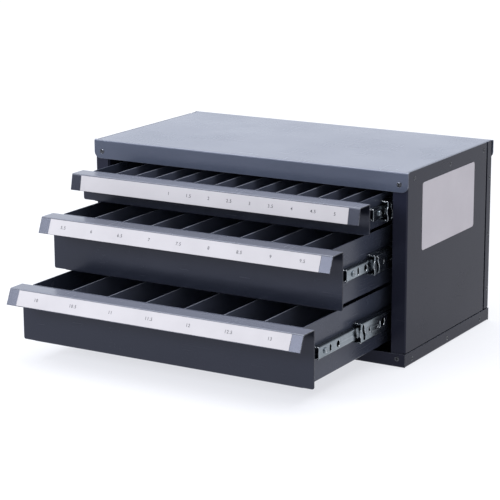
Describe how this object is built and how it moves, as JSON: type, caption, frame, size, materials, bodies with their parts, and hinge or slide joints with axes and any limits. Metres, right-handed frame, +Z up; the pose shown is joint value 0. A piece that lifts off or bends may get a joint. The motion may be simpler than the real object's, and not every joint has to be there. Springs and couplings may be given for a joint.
{
  "type": "drill bit drawer case",
  "caption": "Steel case with divided drawers on ball slides; each drawer has a folded finger ledge with a slanted, numbered lip.",
  "frame": {"origin": "on the surface the case stands on, under the middle of its width and of the case's own depth", "axes": "+X to the right as seen from the front, +Y to the back, +Z up; drawers open towards -Y"},
  "size_m": [0.361, 0.3751, 0.192],
  "materials": {
    "case_paint": "satin",
    "drawer_paint": "satin",
    "zinc_plate": "satin",
    "dark_screws": "satin",
    "label_white": "matte",
    "bumper_rubber": "matte"
  },
  "bodies": {
    "case": {"top_panel": "case_paint", "bottom_pan": "case_paint", "side_panel_right": "case_paint", "side_panel_left": "case_paint", "back_panel": "case_paint", "slide_mount_right": "case_paint", "slide_mount_left": "case_paint", "case_screws": "dark_screws", "side_label": "label_white", "mount_screws": "zinc_plate", "slide_bumpers": "bumper_rubber", "cabinet_rail_bottom_right": "zinc_plate", "cabinet_rail_bottom_left": "zinc_plate", "cabinet_rail_middle_right": "zinc_plate", "cabinet_rail_middle_left": "zinc_plate", "cabinet_rail_top_right": "zinc_plate", "cabinet_rail_top_left": "zinc_plate"},
    "bottom_drawer": {"tray_bottom": "drawer_paint", "dividers_bottom": "drawer_paint", "drawer_front_bottom": "drawer_paint", "number_strip_bottom": "label_white", "rail_screws_bottom": "zinc_plate", "drawer_rail_bottom_right": "zinc_plate", "drawer_rail_bottom_left": "zinc_plate"},
    "bottom_right_middle_rail": {"middle_rail_bottom_right": "zinc_plate"},
    "bottom_right_outer_ball_cage": {"outer_ball_cage_bottom_right": "zinc_plate"},
    "bottom_right_inner_ball_cage": {"inner_ball_cage_bottom_right": "zinc_plate"},
    "bottom_left_middle_rail": {"middle_rail_bottom_left": "zinc_plate"},
    "bottom_left_outer_ball_cage": {"outer_ball_cage_bottom_left": "zinc_plate"},
    "bottom_left_inner_ball_cage": {"inner_ball_cage_bottom_left": "zinc_plate"},
    "middle_drawer": {"tray_middle": "drawer_paint", "dividers_middle": "drawer_paint", "drawer_front_middle": "drawer_paint", "number_strip_middle": "label_white", "rail_screws_middle": "zinc_plate", "drawer_rail_middle_right": "zinc_plate", "drawer_rail_middle_left": "zinc_plate"},
    "middle_right_middle_rail": {"middle_rail_middle_right": "zinc_plate"},
    "middle_right_outer_ball_cage": {"outer_ball_cage_middle_right": "zinc_plate"},
    "middle_right_inner_ball_cage": {"inner_ball_cage_middle_right": "zinc_plate"},
    "middle_left_middle_rail": {"middle_rail_middle_left": "zinc_plate"},
    "middle_left_outer_ball_cage": {"outer_ball_cage_middle_left": "zinc_plate"},
    "middle_left_inner_ball_cage": {"inner_ball_cage_middle_left": "zinc_plate"},
    "top_drawer": {"tray_top": "drawer_paint", "dividers_top": "drawer_paint", "drawer_front_top": "drawer_paint", "number_strip_top": "label_white", "rail_screws_top": "zinc_plate", "drawer_rail_top_right": "zinc_plate", "drawer_rail_top_left": "zinc_plate"},
    "top_right_middle_rail": {"middle_rail_top_right": "zinc_plate"},
    "top_right_outer_ball_cage": {"outer_ball_cage_top_right": "zinc_plate"},
    "top_right_inner_ball_cage": {"inner_ball_cage_top_right": "zinc_plate"},
    "top_left_middle_rail": {"middle_rail_top_left": "zinc_plate"},
    "top_left_outer_ball_cage": {"outer_ball_cage_top_left": "zinc_plate"},
    "top_left_inner_ball_cage": {"inner_ball_cage_top_left": "zinc_plate"}
  },
  "joints": [
    {"name": "bottom_drawer_slide", "type": "slide", "parent": "case", "child": "bottom_drawer", "axis": [0, -1, 0], "range_m": [-0.15091, 0.00109]},
    {"name": "bottom_right_middle_rail_slide", "type": "slide", "parent": "case", "child": "bottom_right_middle_rail", "axis": [0, -1, 0], "range_m": [-0.07545, 0.00055]},
    {"name": "bottom_right_outer_ball_cage_slide", "type": "slide", "parent": "case", "child": "bottom_right_outer_ball_cage", "axis": [0, -1, 0], "range_m": [-0.03773, 0.00027]},
    {"name": "bottom_right_inner_ball_cage_slide", "type": "slide", "parent": "case", "child": "bottom_right_inner_ball_cage", "axis": [0, -1, 0], "range_m": [-0.11318, 0.00082]},
    {"name": "bottom_left_middle_rail_slide", "type": "slide", "parent": "case", "child": "bottom_left_middle_rail", "axis": [0, -1, 0], "range_m": [-0.07545, 0.00055]},
    {"name": "bottom_left_outer_ball_cage_slide", "type": "slide", "parent": "case", "child": "bottom_left_outer_ball_cage", "axis": [0, -1, 0], "range_m": [-0.03773, 0.00027]},
    {"name": "bottom_left_inner_ball_cage_slide", "type": "slide", "parent": "case", "child": "bottom_left_inner_ball_cage", "axis": [0, -1, 0], "range_m": [-0.11318, 0.00082]},
    {"name": "middle_drawer_slide", "type": "slide", "parent": "case", "child": "middle_drawer", "axis": [0, -1, 0], "range_m": [-0.0974, 0.0546]},
    {"name": "middle_right_middle_rail_slide", "type": "slide", "parent": "case", "child": "middle_right_middle_rail", "axis": [0, -1, 0], "range_m": [-0.0487, 0.0273]},
    {"name": "middle_right_outer_ball_cage_slide", "type": "slide", "parent": "case", "child": "middle_right_outer_ball_cage", "axis": [0, -1, 0], "range_m": [-0.02435, 0.01365]},
    {"name": "middle_right_inner_ball_cage_slide", "type": "slide", "parent": "case", "child": "middle_right_inner_ball_cage", "axis": [0, -1, 0], "range_m": [-0.07305, 0.04095]},
    {"name": "middle_left_middle_rail_slide", "type": "slide", "parent": "case", "child": "middle_left_middle_rail", "axis": [0, -1, 0], "range_m": [-0.0487, 0.0273]},
    {"name": "middle_left_outer_ball_cage_slide", "type": "slide", "parent": "case", "child": "middle_left_outer_ball_cage", "axis": [0, -1, 0], "range_m": [-0.02435, 0.01365]},
    {"name": "middle_left_inner_ball_cage_slide", "type": "slide", "parent": "case", "child": "middle_left_inner_ball_cage", "axis": [0, -1, 0], "range_m": [-0.07305, 0.04095]},
    {"name": "top_drawer_slide", "type": "slide", "parent": "case", "child": "top_drawer", "axis": [0, -1, 0], "range_m": [-0.0449, 0.1071]},
    {"name": "top_right_middle_rail_slide", "type": "slide", "parent": "case", "child": "top_right_middle_rail", "axis": [0, -1, 0], "range_m": [-0.02245, 0.05355]},
    {"name": "top_right_outer_ball_cage_slide", "type": "slide", "parent": "case", "child": "top_right_outer_ball_cage", "axis": [0, -1, 0], "range_m": [-0.01123, 0.02678]},
    {"name": "top_right_inner_ball_cage_slide", "type": "slide", "parent": "case", "child": "top_right_inner_ball_cage", "axis": [0, -1, 0], "range_m": [-0.03368, 0.08032]},
    {"name": "top_left_middle_rail_slide", "type": "slide", "parent": "case", "child": "top_left_middle_rail", "axis": [0, -1, 0], "range_m": [-0.02245, 0.05355]},
    {"name": "top_left_outer_ball_cage_slide", "type": "slide", "parent": "case", "child": "top_left_outer_ball_cage", "axis": [0, -1, 0], "range_m": [-0.01123, 0.02678]},
    {"name": "top_left_inner_ball_cage_slide", "type": "slide", "parent": "case", "child": "top_left_inner_ball_cage", "axis": [0, -1, 0], "range_m": [-0.03368, 0.08032]}
  ],
  "couplings": [
    {"joint": "bottom_right_middle_rail_slide", "follows": "bottom_drawer_slide", "ratio": 0.5},
    {"joint": "bottom_right_outer_ball_cage_slide", "follows": "bottom_drawer_slide", "ratio": 0.25},
    {"joint": "bottom_right_inner_ball_cage_slide", "follows": "bottom_drawer_slide", "ratio": 0.75},
    {"joint": "bottom_left_middle_rail_slide", "follows": "bottom_drawer_slide", "ratio": 0.5},
    {"joint": "bottom_left_outer_ball_cage_slide", "follows": "bottom_drawer_slide", "ratio": 0.25},
    {"joint": "bottom_left_inner_ball_cage_slide", "follows": "bottom_drawer_slide", "ratio": 0.75},
    {"joint": "middle_right_middle_rail_slide", "follows": "middle_drawer_slide", "ratio": 0.5},
    {"joint": "middle_right_outer_ball_cage_slide", "follows": "middle_drawer_slide", "ratio": 0.25},
    {"joint": "middle_right_inner_ball_cage_slide", "follows": "middle_drawer_slide", "ratio": 0.75},
    {"joint": "middle_left_middle_rail_slide", "follows": "middle_drawer_slide", "ratio": 0.5},
    {"joint": "middle_left_outer_ball_cage_slide", "follows": "middle_drawer_slide", "ratio": 0.25},
    {"joint": "middle_left_inner_ball_cage_slide", "follows": "middle_drawer_slide", "ratio": 0.75},
    {"joint": "top_right_middle_rail_slide", "follows": "top_drawer_slide", "ratio": 0.5},
    {"joint": "top_right_outer_ball_cage_slide", "follows": "top_drawer_slide", "ratio": 0.25},
    {"joint": "top_right_inner_ball_cage_slide", "follows": "top_drawer_slide", "ratio": 0.75},
    {"joint": "top_left_middle_rail_slide", "follows": "top_drawer_slide", "ratio": 0.5},
    {"joint": "top_left_outer_ball_cage_slide", "follows": "top_drawer_slide", "ratio": 0.25},
    {"joint": "top_left_inner_ball_cage_slide", "follows": "top_drawer_slide", "ratio": 0.75}
  ]
}
